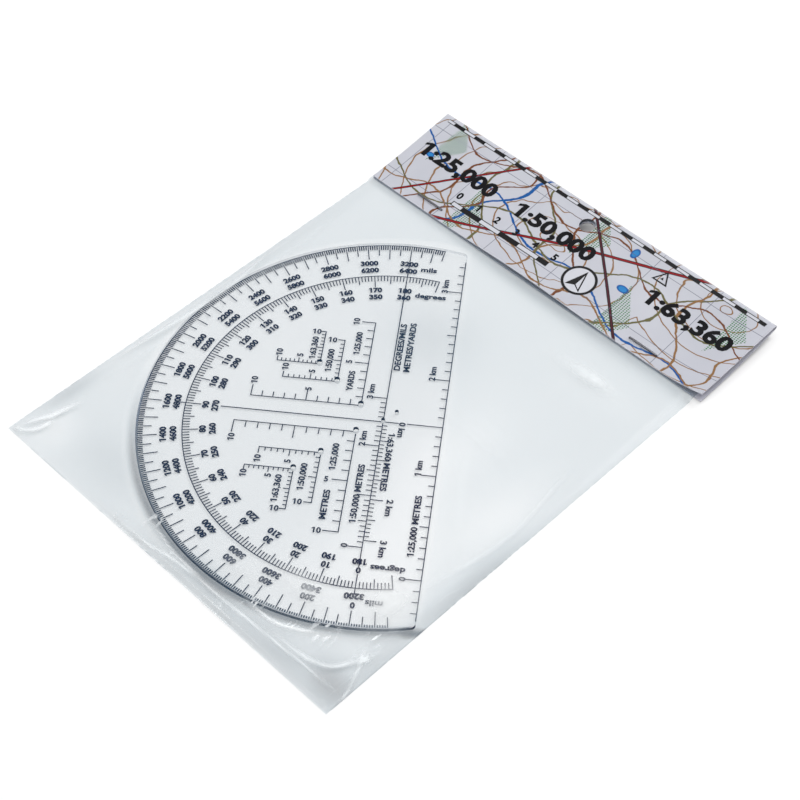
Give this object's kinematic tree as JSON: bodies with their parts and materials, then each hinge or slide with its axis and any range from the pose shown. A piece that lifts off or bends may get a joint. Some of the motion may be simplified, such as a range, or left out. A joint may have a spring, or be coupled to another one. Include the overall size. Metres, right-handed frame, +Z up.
{
  "type": "map protractor",
  "caption": "Clear D-shaped map protractor with mil and degree circles, map scales and romers, loose in a film bag that a stapled folded card with a hang hole closes.",
  "frame": {"origin": "on the surface that the pack lies on, under the middle of the pack", "axes": "+Y towards the folded card, +Z up through the pack's front, +X to the right as the card is read"},
  "size_m": [0.152, 0.2068, 0.0066],
  "materials": {
    "clear_sheet": "polished clear sheet with a faint blue cast",
    "print": "blue-black screen ink",
    "clear_film": "clear glossy film, lightly creased",
    "printed_card": "coated card with a printed map pattern",
    "staple_wire": "bright drawn wire"
  },
  "bodies": {
    "pack": {"poly_bag": "clear_film", "header_card": "printed_card", "left_staple": "staple_wire", "right_staple": "staple_wire"},
    "protractor": {"protractor_blank": "clear_sheet", "mil_scale": "print", "degree_scale": "print", "edge_scale": "print", "baseline_lower": "print", "baseline_upper": "print", "cross_line_left": "print", "cross_line_right": "print", "metres_25000_northing": "print", "metres_25000_easting": "print", "metres_50000_northing": "print", "metres_50000_easting": "print", "metres_63360_northing": "print", "metres_63360_easting": "print", "yards_25000_northing": "print", "yards_25000_easting": "print", "yards_50000_northing": "print", "yards_50000_easting": "print", "yards_63360_northing": "print", "yards_63360_easting": "print"}
  },
  "joints": [
    {"name": "protractor_slide", "type": "slide", "parent": "pack", "child": "protractor", "axis": [0, 1, 0], "range_m": [-0.0055, 0.0025]}
  ]
}
